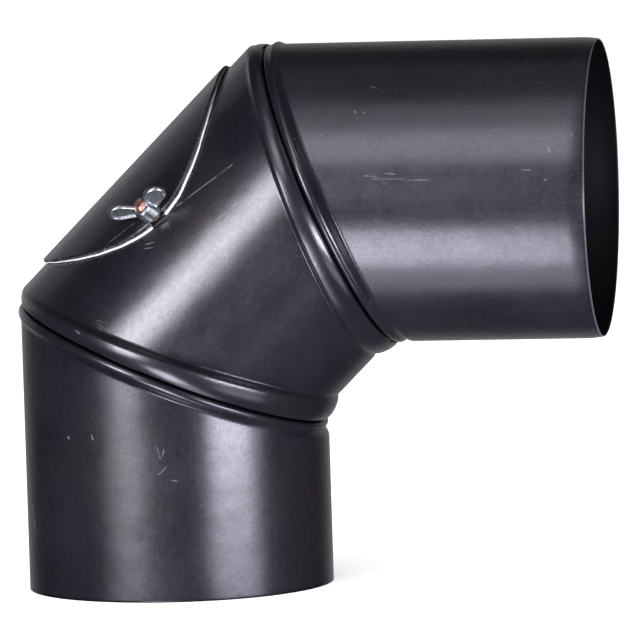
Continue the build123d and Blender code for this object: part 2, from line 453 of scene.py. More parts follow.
def handling_marks_group():
    """Stray light specks and short hair scratches along and across the tube."""
    tree, given, result = shader_group(
        "handling_marks",
        [("Sheet", "NodeSocketVector", None), ("Shift", "NodeSocketFloat", 0.0)],
        [("Mask", "NodeSocketFloat")],
    )
    shift = add_node(tree, "ShaderNodeCombineXYZ", dict.fromkeys("XY", given["Shift"]))
    moved = vector_calc(tree, "ADD", given["Sheet"], shift.outputs["Vector"])["Vector"]
    specks = ((46, 46, 1), 0.02, 0.8)
    hairs_along, hairs_across = ((240, 60, 1), 0.04, 0.95), ((90, 260, 1), 0.04, 0.96)
    masks = []
    for scale, size, share in (specks, hairs_along, hairs_across):
        inputs = {"Vector": stretched(tree, moved, scale), "Scale": 1.0}
        cells = add_node(tree, "ShaderNodeTexVoronoi", inputs, voronoi_dimensions="2D")
        chance = add_node(tree, "ShaderNodeSeparateColor", {"Color": cells.outputs["Color"]})
        near = spread(tree, cells.outputs["Distance"], size * 0.35, size, 1.0, 0.0)
        chosen = calc(tree, "GREATER_THAN", chance.outputs["Red"], share)
        faint = spread(tree, chance.outputs["Green"], 0.0, 1.0, 0.25, 1.0)
        masks.append(calc(tree, "MULTIPLY", calc(tree, "MULTIPLY", near, chosen), faint))
    both = calc(tree, "MAXIMUM", masks[0], masks[1])
    tree.links.new(calc(tree, "MAXIMUM", both, masks[2]), result.inputs["Mask"])
    return tree


def scratch_group():
    """One scratch from Start to End on the sheet, broken along its length."""
    tree, given, result = shader_group(
        "scratch",
        [
            ("Sheet", "NodeSocketVector", None),
            ("Start", "NodeSocketVector", None),
            ("End", "NodeSocketVector", None),
            ("Width", "NodeSocketFloat", 0.0005),
        ],
        [("Mask", "NodeSocketFloat")],
    )
    run = vector_calc(tree, "SUBTRACT", given["End"], given["Start"])["Vector"]
    reach = vector_calc(tree, "SUBTRACT", given["Sheet"], given["Start"])["Vector"]
    length = vector_calc(tree, "DOT_PRODUCT", run, run)["Value"]
    covered = vector_calc(tree, "DOT_PRODUCT", reach, run)["Value"]
    share = calc(tree, "DIVIDE", covered, length, clamp=True)
    foot = add_node(tree, "ShaderNodeVectorMath", {0: run, "Scale": share}, operation="SCALE")
    gap = vector_calc(tree, "DISTANCE", reach, foot.outputs["Vector"])["Value"]
    wobble = noise(tree, given["Sheet"], 320.0, 2.0)
    width = calc(tree, "MULTIPLY", given["Width"], spread(tree, wobble, 0.3, 0.7, 0.35, 1.2))
    line = calc(tree, "SUBTRACT", 1.0, calc(tree, "DIVIDE", gap, width), clamp=True)
    broken = spread(tree, noise(tree, given["Sheet"], 150.0, 1.0), 0.32, 0.48, 0.15, 1.0)
    tree.links.new(calc(tree, "MULTIPLY", line, broken), result.inputs["Mask"])
    return tree


ROLLED_SHEET = rolled_sheet_group()
HANDLING_MARKS = handling_marks_group()
SCRATCH = scratch_group()


def new_material(name):
    material = bpy.data.materials.new(name)
    material.use_nodes = True
    return material, material.node_tree, material.node_tree.nodes["Principled BSDF"]


def black_steel(name, shift, scratches):
    """Heat-proof black on sheet steel, with scratches of (start, end, width) in millimetres on the sheet."""
    material, tree, surface = new_material(name)
    place = object_place(tree)
    sheet = add_node(tree, "ShaderNodeUVMap", uv_map="sheet").outputs["UV"]
    finish = add_node(tree, "ShaderNodeGroup", {"Sheet": sheet, "Place": place}, node_tree=ROLLED_SHEET)
    marks = add_node(tree, "ShaderNodeGroup", {"Sheet": sheet, "Shift": shift}, node_tree=HANDLING_MARKS)
    mask = calc(tree, "MULTIPLY", marks.outputs["Mask"], 0.6)
    for start, end, width in scratches:
        first, last = ((spot[0] * MM, spot[1] * MM, 0) for spot in (start, end))
        inputs = {"Sheet": sheet, "Start": first, "End": last, "Width": width * MM}
        line = add_node(tree, "ShaderNodeGroup", inputs, node_tree=SCRATCH)
        mask = calc(tree, "MAXIMUM", mask, line.outputs["Mask"])
    scratched, shaded, bare_and_highlight = (0.19, 0.185, 0.175, 1), (0.0006, 0.0006, 0.0008, 1), (0.15, 0.15, 0.155, 1)
    # Painted shade: the marked groove and cut edge take the near-black shaded colour and less specular
    painted_shade = attribute(tree, "painted_shade")
    colour = mix_colour(tree, calc(tree, "MULTIPLY", mask, 0.7), finish.outputs["Colour"], scratched)
    colour = mix_colour(tree, painted_shade, colour, shaded)
    # The worn cut edge takes the light bare colour, which is partly a painted highlight
    colour = mix_colour(tree, attribute(tree, "worn_and_highlight"), colour, bare_and_highlight)
    tree.links.new(colour, surface.inputs["Base Color"])
    tree.links.new(spread(tree, painted_shade, 0.0, 1.0, 0.5, 0.08), surface.inputs["Specular IOR Level"])
    smoothed = calc(tree, "MULTIPLY", attribute(tree, "rolled"), 0.055)
    rough = calc(tree, "SUBTRACT", finish.outputs["Roughness"], smoothed)
    rough = calc(tree, "ADD", rough, calc(tree, "MULTIPLY", mask, 0.1))
    tree.links.new(rough, surface.inputs["Roughness"])
    relief = calc(tree, "SUBTRACT", finish.outputs["Height"], calc(tree, "MULTIPLY", mask, 0.12))
    fine = raise_relief(tree, surface, relief, 0.16, 0.00018)
    raise_relief(tree, fine, noise(tree, place, 42.0, 2.0, 0.4), 1.0, 0.0003)
    surface.inputs["IOR"].default_value = 1.54
    return material


def shaded_inside():
    """Near-black, rough inner wall with little shine: painted shade."""
    material, tree, surface = new_material("shaded_inside")
    place = object_place(tree)
    cloud = noise(tree, place, 34.0, 3.0, 0.6)
    # Painted shade: the inner wall is far darker than the paint outside, with faint lighter patches
    grime_and_shade, bloom = (0.0006, 0.0006, 0.0008, 1), (0.0020, 0.0020, 0.0030, 1)
    tone = mix_colour(tree, spread(tree, cloud, 0.35, 0.7), grime_and_shade, bloom)
    tree.links.new(tone, surface.inputs["Base Color"])
    tree.links.new(spread(tree, cloud, 0.3, 0.7, 0.62, 0.45), surface.inputs["Roughness"])
    raise_relief(tree, surface, noise(tree, place, 900.0), 0.1, 0.0002)
    surface.inputs["Specular IOR Level"].default_value = 0.22
    return material


def bright_zinc():
    """Zinc-plated casting: brighter and greyer patches, faint casting grain."""
    material, tree, surface = new_material("bright_zinc")
    place = object_place(tree)
    cloud = noise(tree, place, 260.0, 3.0, 0.6)
    grain = noise(tree, place, 2600.0, 2.0)
    tone = mix_colour(tree, spread(tree, cloud, 0.3, 0.7), (0.22, 0.24, 0.235, 1), (0.48, 0.51, 0.50, 1))
    tree.links.new(tone, surface.inputs["Base Color"])
    tree.links.new(spread(tree, cloud, 0.3, 0.7, 0.38, 0.24), surface.inputs["Roughness"])
    raise_relief(tree, surface, calc(tree, "ADD", grain, cloud), 0.1, 0.0001)
    surface.inputs["Metallic"].default_value = 1.0
    return material


def copper_flash():
    """Copper-flashed steel thread, darker in patches."""
    material, tree, surface = new_material("copper_flash")
    place = object_place(tree)
    cloud = noise(tree, place, 480.0, 3.0, 0.6)
    tone = mix_colour(tree, spread(tree, cloud, 0.3, 0.7), (0.55, 0.25, 0.20, 1), (0.88, 0.52, 0.40, 1))
    tree.links.new(tone, surface.inputs["Base Color"])
    tree.links.new(spread(tree, cloud, 0.3, 0.7, 0.48, 0.3), surface.inputs["Roughness"])
    raise_relief(tree, surface, cloud, 0.2, 0.0001)
    surface.inputs["Metallic"].default_value = 1.0
    return material


def white_fibre():
    """Woven fibre: fuzz, grey patches, and painted shade, near black, where the tape is marked for it."""
    material, tree, surface = new_material("white_fibre")
    place = object_place(tree)
    fuzz = noise(tree, place, 2200.0, 3.0, 0.7)
    grime_and_shade = noise(tree, place, 55.0, 3.0, 0.6)
    tone = mix_colour(tree, spread(tree, grime_and_shade, 0.45, 0.8), (0.64, 0.62, 0.58, 1), (0.40, 0.385, 0.35, 1))
    thread = mix_colour(tree, spread(tree, fuzz, 0.25, 0.5, 0.35, 0.0), tone, (0.30, 0.29, 0.27, 1))
    # Painted shade: the marked part of the tape turns near black, varying a little with the grey patches
    painted_shade_share = calc(tree, "MULTIPLY", attribute(tree, "grime_and_shade"), spread(tree, grime_and_shade, 0.3, 0.6, 1.0, 0.93))
    tree.links.new(mix_colour(tree, painted_shade_share, thread, (0.007, 0.007, 0.007, 1)), surface.inputs["Base Color"])
    tree.links.new(spread(tree, fuzz, 0.3, 0.7, 0.85, 1.0), surface.inputs["Roughness"])
    raise_relief(tree, surface, fuzz, 0.6, 0.0003)
    surface.inputs["Specular IOR Level"].default_value = 0.03
    return material


STEEL_LOWER = black_steel(
    "black_steel_lower",
    0.31,
    [
        ((-46.6, 80.7), (-46.2, 80.0), 0.9),
        ((-31.6, 82.5), (-30.8, 80.2), 0.6),
        ((2.6, 77.0), (4.4, 70.5), 0.3),
        ((6.2, 75.5), (5.4, 72.0), 0.3),
        ((7.0, 66.5), (3.2, 63.0), 0.3),
        ((9.5, 60.0), (12.2, 59.6), 0.3),
        ((-85.5, 44.0), (-82.2, 33.0), 0.5),
        ((-83.6, 38.0), (-80.5, 31.5), 0.4),
    ],
)
STEEL_UPPER = black_steel(
    "black_steel_upper",
    0.77,
    [
        ((-62.0, -105.6), (-61.2, -103.2), 0.6),
        ((-46.9, -112.8), (-46.2, -112.2), 0.8),
        ((-46.4, -108.8), (-46.0, -108.0), 0.7),
        ((-13.4, -107.0), (-13.0, -101.5), 0.3),
        ((-14.4, -97.5), (-14.0, -92.0), 0.3),
        ((-11.8, -103.0), (-11.6, -88.0), 0.25),
        ((-11.0, -86.0), (-10.8, -75.0), 0.25),
        ((-100.6, -58.5), (-104.5, -44.0), 0.7),
        ((-103.6, -52.0), (-100.4, -41.0), 0.5),
        ((-31.2, -6.3), (-32.4, -5.5), 0.5),
        ((-25.4, -17.4), (-23.2, -16.5), 0.45),
        ((-9.7, -19.1), (-9.9, -18.4), 0.5),
        ((-14.7, -26.1), (-14.8, -30.0), 0.3),
    ],
)
STEEL_MIDDLE = black_steel(
    "black_steel_middle",
    0.05,
    [
        ((-46.0, 9.6), (-38.8, 43.8), 0.45),
        ((-48.1, -8.4), (-46.0, 4.0), 0.4),
        ((-46.0, 9.6), (-51.5, 13.5), 0.25),
        ((-43.9, -15.0), (-41.0, -10.5), 0.4),
        ((-42.6, -16.5), (-39.6, -13.0), 0.3),
        ((-24.0, 20.5), (-22.5, 33.0), 0.4),
        ((-18.0, 1.0), (-17.2, 9.0), 0.4),
        ((-35.6, -67.8), (-33.0, -67.4), 0.35),
        ((-34.7, -58.0), (-30.3, -55.9), 0.16),
        ((-33.6, -59.0), (-27.3, -57.2), 0.14),
        ((-31.6, -59.9), (-28.2, -59.3), 0.12),
    ],
)
STEEL_LID = black_steel("black_steel_lid", 0.58, [((-62.0, -30.0), (-58.0, -12.0), 0.3)])
INSIDE_SHADE = shaded_inside()
ZINC = bright_zinc()
COPPER = copper_flash()
FIBRE = white_fibre()


# Collars
def make_collar(body, mouth, swivel, straight, tube, axis, material, set_in, low_back, wear_and_highlight):
    outside = collar_wall(mouth, swivel, straight, tube, set_in, low_back, 0.0)
    inside = collar_wall(mouth, swivel, straight, tube, set_in, low_back, SHEET)
    piece = new_piece(f"{body}_collar_sheet", *close_sheet(outside, inside, mouth[3]), material)
    shade_inside(piece, len(outside), len(inside))
    mark_joints(piece.data, [swivel], COLLAR_ROLLED, mouth, wear_and_highlight)
    outward_faces(piece)
    sheet_map(piece.data, mouth[0], axis, tube)
    dress(piece, body, f"{body}_collar")


make_collar(
    "lower", LOWER_MOUTH, LOWER_SWIVEL, SOCKET_DEPTH, SOCKET_RADIUS, UP, STEEL_LOWER,
    set_in=0.0, low_back=0.35, wear_and_highlight=0.0,
)
make_collar(
    "upper", UPPER_MOUTH, UPPER_SWIVEL, SPIGOT_DEPTH, SPIGOT_RADIUS, OUTLET, STEEL_UPPER,
    set_in=0.8, low_back=1.4, wear_and_highlight=0.4,
)


# Middle segment with its hatch opening
def prism(name, outline, lift, material):
    """Closed prism from an outline of points and the way to its other end."""
    count = len(outline)
    faces = [tuple(range(count))[::-1], tuple(range(count, 2 * count))]
    faces += [(i, (i + 1) % count, count + (i + 1) % count, count + i) for i in range(count)]
    piece = new_piece(name, np.concatenate([outline, outline + lift]), faces, material)
    outward_faces(piece)
    return piece


def opening_prism(half_length, half_width, low, high, count=160):
    """Oval prism through the segment's outer side, between two distances from its axis."""
    turn = np.arange(count) * 2 * pi / count
    lengthways, sideways = half_length * np.cos(turn), half_width * np.sin(turn)
    flat = MIDDLE_CENTRE + np.outer(lengthways, ALONG) - np.outer(sideways, NEAR)
    return prism("opening", flat + OUTWARD * low, OUTWARD * (high - low), STEEL_MIDDLE)


def cut(piece, tool):
    """Take a closed tool away from a piece, and remove the tool."""
    modifier = piece.modifiers.new("cut", "BOOLEAN")
    modifier.operation = "DIFFERENCE"
    modifier.solver = "EXACT"
    modifier.object = tool
    plain_mesh(piece)
    bpy.data.objects.remove(tool)


middle_outside, middle_inside = middle_wall(0.0), middle_wall(SHEET)
middle = new_piece("middle_segment_sheet", *close_sheet(middle_outside, middle_inside), STEEL_MIDDLE)
shade_inside(middle, len(middle_outside), len(middle_inside))
outward_faces(middle)
cut(middle, opening_prism(HATCH_LENGTH / 2 - HATCH_OVERLAP, HATCH_WIDTH / 2 - HATCH_OVERLAP, 20, 110))
middle.data.set_sharp_from_angle(angle=SHEET_FOLD)
sheet_map(middle.data, MIDDLE_CENTRE, ALONG, MIDDLE_RADIUS)
mark_joints(middle.data, [LOWER_SWIVEL, UPPER_SWIVEL], BAND_ROLLED)
dress(middle, "middle", "middle_segment")


# Hatch lid on the gasket
def on_segment(along, sideways, radius):
    """Points on a cylinder about the segment's axis, over its outer side."""
    rise = np.sqrt(radius**2 - sideways**2)
    return MIDDLE_CENTRE + np.outer(along, ALONG) - np.outer(sideways, NEAR) + np.outer(rise, OUTWARD)


def stud_axes(side, height, turn=0.0):
    """Foot, turned edge direction, cross direction and axis of a stud, at a height off the tube's axis."""
    axis = OUTWARD * cos(STUD_ANGLE) + NEAR * side * sin(STUD_ANGLE)
    to_edge = NEAR * side * cos(STUD_ANGLE) - OUTWARD * sin(STUD_ANGLE)
    along = np.cross(to_edge, axis)
    foot = MIDDLE_CENTRE + ALONG * STUD_OFFSET + axis * height
    x = along * cos(turn) + to_edge * sin(turn)
    return foot, x, np.cross(axis, x), axis


def lid_points(radius, edge_in):
    """Middle point and ovals of one face of the lid, out to an edge that is drawn in."""
    turn = np.arange(LID_AROUND) * 2 * pi / LID_AROUND
    rows = [on_segment(np.zeros(1), np.zeros(1), radius)]
    for share in (*np.linspace(0.06, 0.9, 15), 0.94, 0.97, 0.985, 0.995, 1.0):
        half_length = (HATCH_LENGTH / 2 - edge_in) * share
        half_width = (HATCH_WIDTH / 2 - edge_in) * share
        rows.append(on_segment(half_length * np.cos(turn), half_width * np.sin(turn), radius))
    return rows


def make_lid():
    top = lid_points(LID_INSIDE + SHEET, LID_ROUNDING)
    under = lid_points(LID_INSIDE, LID_ROUNDING)
    rim = lid_points(LID_INSIDE + SHEET / 2, 0.0)[-1]
    count = len(rim)
    rows = top[1:] + [rim] + under[1:][::-1]
    points = np.concatenate([top[0], *rows, under[0]])
    faces = []
    for j in range(count):
        k = (j + 1) % count
        faces.append((0, 1 + j, 1 + k))
        for row in range(len(rows) - 1):
            low, high = 1 + row * count, 1 + (row + 1) * count
            faces.append((low + j, high + j, high + k, low + k))
        last = 1 + (len(rows) - 1) * count
        faces.append((last + j, len(points) - 1, last + k))
    lid = new_piece("hatch_lid_sheet", points, faces, STEEL_LID)
    outward_faces(lid)
    for side in (1, -1):
        foot, x, y, axis = stud_axes(side, MIDDLE_RADIUS - NOTCH_START)
        turn = np.linspace(pi, 2 * pi, 25)
        flat = [(NOTCH_WIDTH / 2 * cos(t), NOTCH_WIDTH / 2 * sin(t)) for t in turn]
        flat += [(NOTCH_WIDTH / 2, NOTCH_REACH), (-NOTCH_WIDTH / 2, NOTCH_REACH)]
        outline = np.array([foot + x * a + y * b for a, b in flat])
        cut(lid, prism("notch", outline, axis * NOTCH_LIFT, STEEL_LID))
    lid.data.set_sharp_from_angle(angle=SHEET_FOLD)
    sheet_map(lid.data, MIDDLE_CENTRE, ALONG, LID_INSIDE)
    dress(lid, "middle", "hatch_lid")


make_lid()


# Gasket: two strips of woven tape, with ribs and a frayed edge
TAPE_STEPS = 700
TAPE_STEP = 0.27
RIB_DEPTH, RIB_PITCH = 0.07, 1.3
DRIFT_SPAN = 41
TAPE_UNDER, TAPE_TOP = MIDDLE_RADIUS + 0.12, LID_INSIDE - 0.06
# Above this height the tape's edge gets painted shade
SHADE_HEIGHT = 1.1
FRAYED_ROWS = slice(2, 6)


def strip_faces(rows, count, closed):
    """Faces between rows of points, from the last row back to the first if closed."""
    faces = []
    for i in range(rows if closed else rows - 1):
        low, high = i * count, (i + 1) % rows * count
        faces += [(low + k, high + k, high + k + 1, low + k + 1) for k in range(count - 1)]
    return faces


def make_gasket(node, side, seed):
    """One strip of tape on its node; returns points and faces of the edge that frays."""
    chance = np.random.default_rng(seed)
    first, last = (-pi / 2, pi / 2) if side > 0 else (pi / 2, 3 * pi / 2)
    turn = np.linspace(first, last, TAPE_STEPS)
    along = HATCH_LENGTH / 2 * np.cos(turn)
    turn = turn[(along - STUD_OFFSET) * side > GASKET_BREAK / 2]
    path = np.cumsum(np.full(len(turn), TAPE_STEP))
    bell = np.hanning(DRIFT_SPAN)
    drift = np.convolve(chance.normal(0, 1, len(turn) + DRIFT_SPAN - 1), bell / bell.sum(), "valid")
    ribs = RIB_DEPTH * np.sin(path * 2 * pi / RIB_PITCH)
    low, high = TAPE_UNDER, TAPE_TOP
    section = [(GASKET_WIDTH, low), (6.0, low), (1.0, low), (0.15, low + 0.2)]
    section += [(-0.2, low + 0.6), (-0.28, low + 1.0), (-0.2, high - 0.5), (0.12, high - 0.15)]
    section += [(0.9, high), (6.0, high), (GASKET_WIDTH, high)]
    rows = []
    for inset, radius in section:
        loose = max(0.0, 1 - abs(inset + 0.2) / 1.2)
        edge = inset - loose * (0.5 * drift + ribs)
        half_length, half_width = HATCH_LENGTH / 2 - edge, HATCH_WIDTH / 2 - edge
        rows.append(on_segment(half_length * np.cos(turn), half_width * np.sin(turn), radius))
    grid = np.stack(rows)
    size, count = grid.shape[:2]
    faces = strip_faces(size, count, closed=True)
    faces.append(tuple(i * count for i in range(size))[::-1])
    faces.append(tuple(i * count + count - 1 for i in range(size)))
    tape = new_piece(f"{node}_tape", grid.reshape(-1, 3), faces, FIBRE)
    outward_faces(tape)
    # Painted shade on the upper half of the tape's edge, under the lid; the top end of the upper strip is
    # darkened as well
    upper_half = [1.0 if radius > low + SHADE_HEIGHT else 0.0 for inset, radius in section]
    top_end = np.clip((0.8 - np.abs(turn)) / 0.35, 0, 1)
    mark(tape.data, "grime_and_shade", np.maximum.outer(np.array(upper_half), top_end * 0.85).ravel())
    tape.data.set_sharp_from_angle(angle=radians(60))
    dress(tape, "middle", node)
    frayed = grid[FRAYED_ROWS]
    return frayed.reshape(-1, 3), strip_faces(len(frayed), count, closed=False)


def geometry_tree(name, inputs):
    tree = bpy.data.node_groups.new(name, "GeometryNodeTree")
    tree.interface.new_socket("Geometry", in_out="INPUT", socket_type="NodeSocketGeometry")
    for label, kind in inputs:
        tree.interface.new_socket(label, in_out="INPUT", socket_type=kind)
    tree.interface.new_socket("Geometry", in_out="OUTPUT", socket_type="NodeSocketGeometry")
    return tree, add_node(tree, "NodeGroupInput").outputs, add_node(tree, "NodeGroupOutput")


def finish_tree(tree, given, result, geometry):
    """Make the geometry real, give it the finish and hand it on."""
    real = add_node(tree, "GeometryNodeRealizeInstances", {"Geometry": geometry}).outputs["Geometry"]
    finished = add_node(tree, "GeometryNodeSetMaterial", {"Geometry": real, "Material": given["Finish"]})
    tree.links.new(finished.outputs["Geometry"], result.inputs["Geometry"])
    return tree


def swept(tree, curve, sides, radius):
    """Closed mesh of a many-sided section along a curve."""
    section = add_node(tree, "GeometryNodeCurvePrimitiveCircle", {"Resolution": sides, "Radius": radius})
    inputs = {"Curve": curve, "Profile Curve": section.outputs["Curve"], "Fill Caps": True}
    return add_node(tree, "GeometryNodeCurveToMesh", inputs).outputs["Mesh"]


def grow(piece, tree, values):
    """Run a geometry tree on a piece with named inputs and keep the result as a plain mesh."""
    modifier = piece.modifiers.new(tree.name, "NODES")
    modifier.node_group = tree
    for item in tree.interface.items_tree:
        if item.in_out == "INPUT" and item.name in values:
            modifier[item.identifier] = values[item.name]
    bpy.context.view_layer.update()
    plain_mesh(piece)


def fray_tree():
    """Loose fibre ends on the tape's edge: bent hairs scattered over a strip of faces."""
    sizes = ("Hairs Per Area", "Hair Length", "Hair Radius")
    inputs = [(label, "NodeSocketFloat") for label in sizes]
    inputs += [("Seed", "NodeSocketInt"), ("Finish", "NodeSocketMaterial")]
    tree, given, result = geometry_tree("frayed_edge", inputs)
    spots = add_node(
        tree,
        "GeometryNodeDistributePointsOnFaces",
        {"Mesh": given["Geometry"], "Density": given["Hairs Per Area"], "Seed": given["Seed"]},
    )
    bend = add_node(
        tree,
        "GeometryNodeCurveQuadraticBezier",
        {"Resolution": 4, "Start": (0, 0, 0), "Middle": (0.15, 0.1, 0.55), "End": (0.75, 0.25, 0.85)},
    )
    scale = add_node(tree, "ShaderNodeCombineXYZ", dict.fromkeys("XYZ", given["Hair Length"]))
    inputs = {"Geometry": bend.outputs["Curve"], "Scale": scale.outputs["Vector"]}
    sized = add_node(tree, "GeometryNodeTransform", inputs)
    hair = swept(tree, sized.outputs["Geometry"], 4, given["Hair Radius"])
    spin = add_node(
        tree,
        "FunctionNodeRandomValue",
        {"Min": (-0.7, -0.7, -3.14), "Max": (0.7, 0.7, 3.14), "Seed": given["Seed"]},
        data_type="FLOAT_VECTOR",
    )
    turned = add_node(
        tree,
        "FunctionNodeRotateRotation",
        {"Rotation": spots.outputs["Rotation"], "Rotate By": spin.outputs["Value"]},
        rotation_space="LOCAL",
    )
    size = add_node(tree, "FunctionNodeRandomValue", {"Seed": given["Seed"]}, data_type="FLOAT")
    size.inputs[2].default_value = 0.25
    size.inputs[3].default_value = 1.0
    placed = add_node(
        tree,
        "GeometryNodeInstanceOnPoints",
        {
            "Points": spots.outputs["Points"],
            "Instance": hair,
            "Rotation": turned.outputs["Rotation"],
            "Scale": size.outputs[1],
        },
    )
    return finish_tree(tree, given, result, placed.outputs["Instances"])


FRAY = fray_tree()
for gasket_node, gasket_side, gasket_seed in (("gasket_upper", 1, 5), ("gasket_lower", -1, 9)):
    strip = new_piece(f"{gasket_node}_fray", *make_gasket(gasket_node, gasket_side, gasket_seed), FIBRE)
    grow(
        strip,
        FRAY,
        {
            "Hairs Per Area": 1.5e6,
            "Hair Length": 2.1 * MM,
            "Hair Radius": 0.045 * MM,
            "Seed": gasket_seed,
            "Finish": FIBRE,
        },
    )
    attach(strip, "middle")


# Weld studs
def stud_tree(sides=48):
    """Stud about +Z: core, coned tip, weld flange and a thread ridge that follows a helix."""
    sizes = ("Length", "Core Radius", "Ridge", "Pitch", "Flange Radius", "Flange Height")
    inputs = [(label, "NodeSocketFloat") for label in sizes] + [("Finish", "NodeSocketMaterial")]
    tree, given, result = geometry_tree("weld_stud", inputs)
    core_radius, flange_height = given["Core Radius"], given["Flange Height"]

    def lifted(geometry, height):
        place = add_node(tree, "ShaderNodeCombineXYZ", {"Z": height}).outputs["Vector"]
        inputs = {"Geometry": geometry, "Translation": place}
        return add_node(tree, "GeometryNodeTransform", inputs).outputs["Geometry"]

    def cylinder(radius, depth):
        inputs = {"Vertices": sides, "Radius": radius, "Depth": depth}
        mesh = add_node(tree, "GeometryNodeMeshCylinder", inputs).outputs["Mesh"]
        return lifted(mesh, calc(tree, "MULTIPLY", depth, 0.5))

    tip = calc(tree, "MULTIPLY", core_radius, 0.3)
    shank = calc(tree, "SUBTRACT", given["Length"], tip)
    cone = add_node(
        tree,
        "GeometryNodeMeshCone",
        {
            "Vertices": sides,
            "Radius Top": calc(tree, "MULTIPLY", core_radius, 0.72),
            "Radius Bottom": core_radius,
            "Depth": tip,
        },
    ).outputs["Mesh"]
    run = calc(tree, "SUBTRACT", shank, flange_height)
    helix = add_node(
        tree,
        "GeometryNodeCurveSpiral",
        {
            "Resolution": 40,
            "Rotations": calc(tree, "DIVIDE", run, given["Pitch"]),
            "Start Radius": core_radius,
            "End Radius": core_radius,
            "Height": run,
        },
    ).outputs["Curve"]
    joined = add_node(tree, "GeometryNodeJoinGeometry")
    for part in (
        cylinder(core_radius, shank),
        lifted(cone, shank),
        cylinder(given["Flange Radius"], flange_height),
        lifted(swept(tree, helix, 6, given["Ridge"]), flange_height),
    ):
        tree.links.new(part, joined.inputs[0])
    smooth = add_node(tree, "GeometryNodeSetShadeSmooth", {"Geometry": joined.outputs["Geometry"]})
    return finish_tree(tree, given, result, smooth.outputs["Geometry"])


STUD = stud_tree()


def frame_matrix(axes):
    """Matrix that puts a piece made in metres at the origin into stud axes in millimetres."""
    foot, x, y, axis = axes
    columns = Matrix((x, y, axis)).transposed().to_4x4()
    columns.translation = Vector(foot) * MM
    return columns


def make_stud(end, side):
    stud = new_piece(f"stud_{end}_thread", [(0, 0, 0), (1, 0, 0), (0, 1, 0)], [(0, 1, 2)], COPPER)
    grow(
        stud,
        STUD,
        {
            "Length": STUD_LENGTH * MM,
            "Core Radius": 2.62 * MM,
            "Ridge": 0.38 * MM,
            "Pitch": 1.0 * MM,
            "Flange Radius": 3.75 * MM,
            "Flange Height": 0.9 * MM,
            "Finish": COPPER,
        },
    )
    stud.data.set_sharp_from_angle(angle=radians(40))
    stud.data.transform(frame_matrix(stud_axes(side, MIDDLE_RADIUS)))
    dress(stud, "middle", f"stud_{end}")


# Wing nuts: turned hub and two dished ears, cast as one
def turned(profile, count=72):
    """Points and faces of a closed profile of (radius, height) turned about the axis."""
    turn = np.arange(count) * 2 * pi / count
    points = [(r * cos(t), r * sin(t), z) for r, z in profile for t in turn]
    size = len(profile)
    faces = []
    for i in range(size):
        for j in range(count):
            k, n = (j + 1) % count, (i + 1) % size
            faces.append((i * count + j, i * count + k, n * count + k, n * count + j))
    return points, faces


def ear(sign, count=64):
    """Dished ear: rounded rim and a sunken face on both sides."""
    root, tip = np.array([3.5, 5.0]), np.array([10.9, 11.3])
    root_radius, tip_radius = 3.6, 5.6
    reach = tip - root
    lean = np.arctan2(reach[1], reach[0])
    spread_angle = np.arccos((root_radius - tip_radius) / np.hypot(*reach))
    half = count // 2
    outline = []
    for centre, radius, first, sweep in (
        (tip, tip_radius, lean - spread_angle, 2 * spread_angle),
        (root, root_radius, lean + spread_angle, 2 * pi - 2 * spread_angle),
    ):
        outline += [(centre, first + sweep * step / (half - 1), radius) for step in range(half)]
    # Loops from the rim inwards: inset from the outline, half thickness
    loops = [(0.0, 0.0), (0.12, 0.75), (0.4, 1.2), (0.85, 1.3), (1.3, 1.05), (1.8, 0.55), (2.6, 0.42)]
    points = []
    for face in (1, -1):
        for inset, thick in loops[0 if face > 0 else 1:]:
            for centre, angle, radius in outline:
                x = centre[0] + (radius - inset) * cos(angle)
                z = centre[1] + (radius - inset) * sin(angle)
                points.append((sign * x, face * thick, z))
    faces = []
    size = len(loops)

    def strip(low, high, turn):
        for j in range(count):
            k = (j + 1) % count
            quad = (low + j, low + k, high + k, high + j)
            faces.append(quad if turn > 0 else quad[::-1])

    for row in range(size - 1):
        strip(row * count, (row + 1) * count, sign)
    strip(0, size * count, -sign)
    for row in range(size, 2 * size - 2):
        strip(row * count, (row + 1) * count, -sign)
    top = tuple(range((size - 1) * count, size * count))
    under = tuple(range((2 * size - 2) * count, (2 * size - 1) * count))
    faces.append(top if sign > 0 else top[::-1])
    faces.append(under[::-1] if sign > 0 else under)
    return points, faces


def make_wing_nut(end, side):
    hub = [(3.45, 0.0), (5.9, 0.0), (6.25, 0.35), (6.2, 1.6), (5.3, 7.6), (4.8, 8.4), (4.4, 8.5)]
    hub += [(3.5, 8.5), (3.1, 8.1), (3.1, 0.4)]
    points, faces = [], []
    for more_points, more_faces in (turned(hub), ear(1), ear(-1)):
        start = len(points)
        points += more_points
        faces += [tuple(start + index for index in face) for face in more_faces]
    nut = new_piece(f"wing_nut_{end}_casting", points, faces, ZINC)
    fuse = nut.modifiers.new("cast", "REMESH")
    fuse.mode = "VOXEL"
    fuse.voxel_size = 0.24 * MM
    soften = nut.modifiers.new("soften", "SMOOTH")
    soften.factor = 0.5
    soften.iterations = 2
    plain_mesh(nut)
    nut.data.polygons.foreach_set("use_smooth", [True] * len(nut.data.polygons))
    nut.data.transform(frame_matrix(stud_axes(side, LID_INSIDE + SHEET + SEAT_GAP, -side * WING_TURN)))
    dress(nut, f"nut_{end}", f"wing_nut_{end}")


for stud_end, stud_side in (("near", 1), ("far", -1)):
    make_stud(stud_end, stud_side)
    make_wing_nut(stud_end, stud_side)


